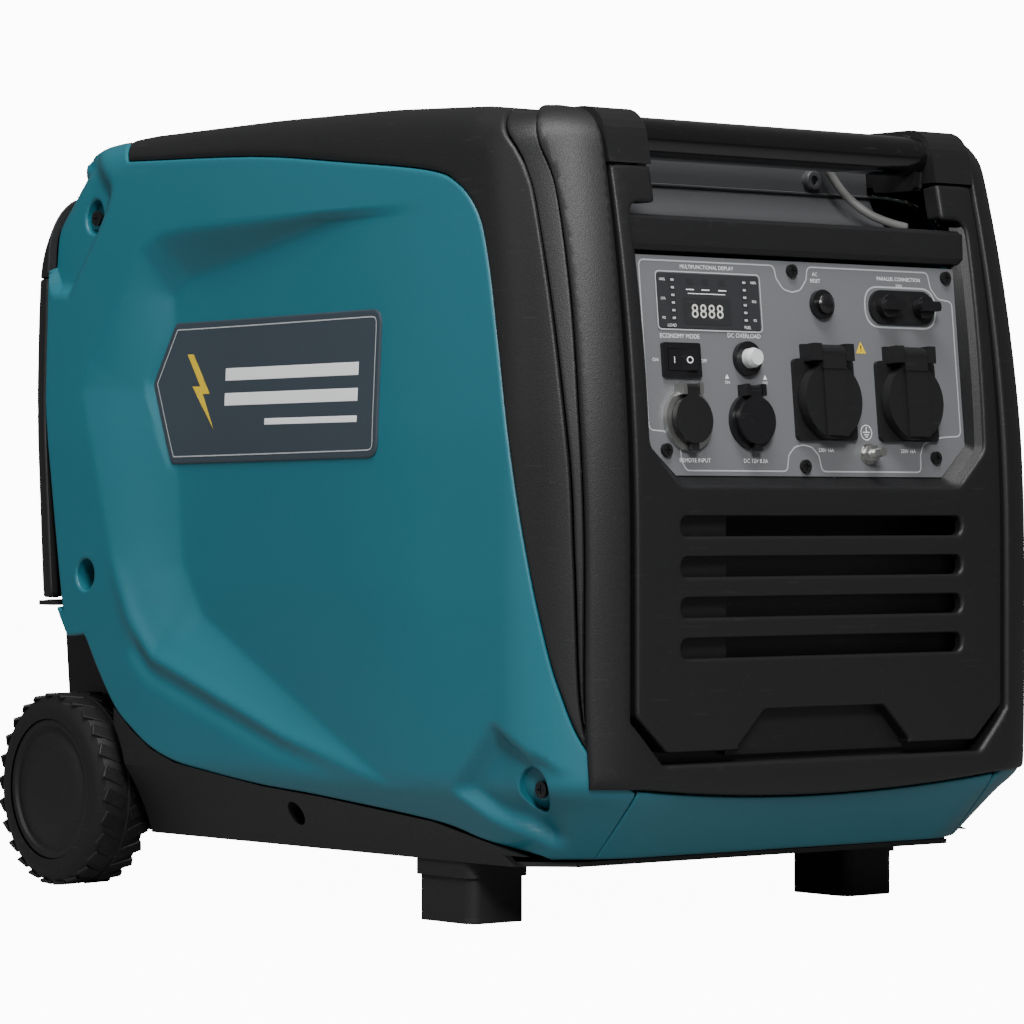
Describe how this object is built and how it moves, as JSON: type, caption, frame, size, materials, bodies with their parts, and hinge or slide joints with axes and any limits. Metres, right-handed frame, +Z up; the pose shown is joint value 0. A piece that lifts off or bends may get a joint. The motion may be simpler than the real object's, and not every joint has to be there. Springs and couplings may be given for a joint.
{
  "type": "portable inverter generator",
  "caption": "Closed-frame inverter generator on two wheels and two feet, with a pull-out handle and a leaning control panel that has mains, 12 V and parallel outlets.",
  "frame": {"origin": "middle of the bounding box on the floor", "axes": "control panel faces -Y, +Y runs to the exhaust end, +Z up, +X to the right seen from the panel end"},
  "size_m": [0.43, 0.6054, 0.5],
  "materials": {
    "cover_paint": "satin moulded plastic with a fine grain",
    "black_plastic": "fine grained moulded plastic",
    "dark_grey_plastic": "satin moulded plastic",
    "gloss_black": "glossy moulded plastic",
    "clear_white": "clear soft cap over a white button",
    "panel_grey": "satin printed overlay",
    "display_plastic": "glossy printed window",
    "badge_foil": "slate foil with a light outline",
    "handle_paint": "gloss black coated steel tube",
    "dark_steel": "blackened steel",
    "steel": "machined steel",
    "zinc": "zinc plated steel",
    "heat_steel": "heat darkened steel",
    "tyre_rubber": "solid rubber tyre",
    "foot_rubber": "moulded rubber",
    "tank_paint": "coated steel tank",
    "cast_alloy": "die cast alloy",
    "copper_wire": "enamelled copper windings on a steel core",
    "battery_case": "moulded battery case"
  },
  "bodies": {
    "body": {"left_side_cover": "cover_paint", "right_side_cover": "cover_paint", "front_bumper": "cover_paint", "base_tray": "black_plastic", "top_cover": "black_plastic", "left_side_shell": "black_plastic", "right_side_shell": "black_plastic", "front_cowl": "black_plastic", "front_bezel": "black_plastic", "handle_pocket": "dark_grey_plastic", "rear_panel": "black_plastic", "exhaust_guard": "heat_steel", "recoil_bezel": "black_plastic", "side_badges": "badge_foil", "case_screws": "dark_steel", "control_panel": "panel_grey", "display_module": "display_plastic", "economy_switch_frame": "gloss_black", "breaker_bushes": "gloss_black", "parallel_terminals": "black_plastic", "remote_inlet": "zinc", "dc_socket": "gloss_black", "ac_sockets": "black_plastic", "earth_terminal": "zinc", "handle_guides": "dark_steel", "axle": "zinc", "front_feet": "foot_rubber", "fuel_tank": "tank_paint", "crankcase": "cast_alloy", "cylinder_head": "cast_alloy", "stator": "copper_wire", "muffler": "heat_steel", "carburettor": "cast_alloy", "air_filter_box": "black_plastic", "inverter_module": "cast_alloy", "battery": "battery_case", "engine_mounts": "foot_rubber", "recoil_housing": "black_plastic"},
    "handle": {"handle_tube": "handle_paint", "handle_ends": "black_plastic"},
    "left_wheel": {"left_tyre": "tyre_rubber", "left_wheel_hub": "black_plastic"},
    "right_wheel": {"right_tyre": "tyre_rubber", "right_wheel_hub": "black_plastic"},
    "rocker": {"economy_rocker": "gloss_black"},
    "ac_reset": {"ac_reset_button": "gloss_black"},
    "dc_breaker": {"dc_breaker_button": "clear_white"},
    "cap_left": {"parallel_cap_left": "gloss_black"},
    "cap_right": {"parallel_cap_right": "gloss_black"},
    "remote_flap": {"remote_inlet_flap": "dark_grey_plastic"},
    "dc_flap": {"dc_socket_flap": "gloss_black"},
    "lid_left": {"socket_lid_left": "black_plastic"},
    "lid_right": {"socket_lid_right": "black_plastic"},
    "filler_cap": {"fuel_cap": "gloss_black"},
    "vent_knob": {"cap_vent_knob": "gloss_black"},
    "pulley": {"recoil_pulley": "dark_grey_plastic"},
    "grip": {"recoil_grip": "black_plastic"},
    "mode_knob": {"engine_knob": "gloss_black"},
    "crank": {"crankshaft": "steel", "rotor_fan": "dark_steel"}
  },
  "joints": [
    {"name": "handle_slide", "type": "slide", "parent": "body", "child": "handle", "axis": [0, -1, 0], "range_m": [0, 0.3]},
    {"name": "left_wheel_spin", "type": "hinge", "parent": "body", "child": "left_wheel", "pos_m": [-0.195, 0.226, 0.0644], "axis": [1, 0, 0], "continuous": true},
    {"name": "right_wheel_spin", "type": "hinge", "parent": "body", "child": "right_wheel", "pos_m": [0.195, 0.226, 0.0644], "axis": [1, 0, 0], "continuous": true},
    {"name": "economy_rock", "type": "hinge", "parent": "body", "child": "rocker", "pos_m": [-0.103, -0.28023, 0.3397], "axis": [0, 0.0958, 0.9954], "range_deg": [0, 16]},
    {"name": "ac_reset_push", "type": "slide", "parent": "body", "child": "ac_reset", "axis": [0, 0.9954, -0.0958], "range_m": [0, 0.0025], "stiffness_N_per_m": 800, "springref_m": -0.002},
    {"name": "dc_breaker_push", "type": "slide", "parent": "body", "child": "dc_breaker", "axis": [0, 0.9954, -0.0958], "range_m": [0, 0.002], "stiffness_N_per_m": 800, "springref_m": -0.002},
    {"name": "parallel_cap_left_pull", "type": "slide", "parent": "body", "child": "cap_left", "axis": [0, -0.9954, 0.0958], "range_m": [0, 0.009]},
    {"name": "parallel_cap_right_pull", "type": "slide", "parent": "body", "child": "cap_right", "axis": [0, -0.9954, 0.0958], "range_m": [0, 0.009]},
    {"name": "remote_flap_lift", "type": "hinge", "parent": "body", "child": "remote_flap", "pos_m": [-0.101, -0.29081, 0.32364], "axis": [-1, 0, 0], "range_deg": [0, 95], "stiffness_Nm_per_rad": 0.01, "springref_deg": -28.65},
    {"name": "dc_flap_lift", "type": "hinge", "parent": "body", "child": "dc_flap", "pos_m": [-0.05, -0.29081, 0.32364], "axis": [-1, 0, 0], "range_deg": [0, 95], "stiffness_Nm_per_rad": 0.01, "springref_deg": -28.65},
    {"name": "socket_lid_left_lift", "type": "hinge", "parent": "body", "child": "lid_left", "pos_m": [0.012, -0.2911, 0.34677], "axis": [-1, 0, 0], "range_deg": [0, 105], "stiffness_Nm_per_rad": 0.03, "springref_deg": -28.65},
    {"name": "socket_lid_right_lift", "type": "hinge", "parent": "body", "child": "lid_right", "pos_m": [0.082, -0.2911, 0.34677], "axis": [-1, 0, 0], "range_deg": [0, 105], "stiffness_Nm_per_rad": 0.03, "springref_deg": -28.65},
    {"name": "filler_cap_turn", "type": "hinge", "parent": "body", "child": "filler_cap", "pos_m": [0, 0.095, 0.48], "axis": [0, 0, 1], "range_deg": [0, 120]},
    {"name": "vent_knob_turn", "type": "hinge", "parent": "filler_cap", "child": "vent_knob", "pos_m": [0, 0.095, 0.49], "axis": [0, 0, 1], "range_deg": [0, 90]},
    {"name": "recoil_pull", "type": "slide", "parent": "body", "child": "grip", "axis": [1, 0, 0], "range_m": [0, 0.3], "stiffness_N_per_m": 30, "springref_m": -0.3},
    {"name": "pulley_turn", "type": "hinge", "parent": "body", "child": "pulley", "pos_m": [0, -0.165, 0.152], "axis": [0, 1, 0], "range_deg": [-1, 320]},
    {"name": "mode_knob_turn", "type": "hinge", "parent": "body", "child": "mode_knob", "pos_m": [0.2, -0.128, 0.252], "axis": [1, 0, 0], "range_deg": [0, 120]},
    {"name": "crank_spin", "type": "hinge", "parent": "body", "child": "crank", "pos_m": [0, 0, 0.152], "axis": [0, 1, 0], "continuous": true}
  ],
  "couplings": [
    {"joint": "pulley_turn", "follows": "recoil_pull", "rad_per_m": 17.857}
  ]
}
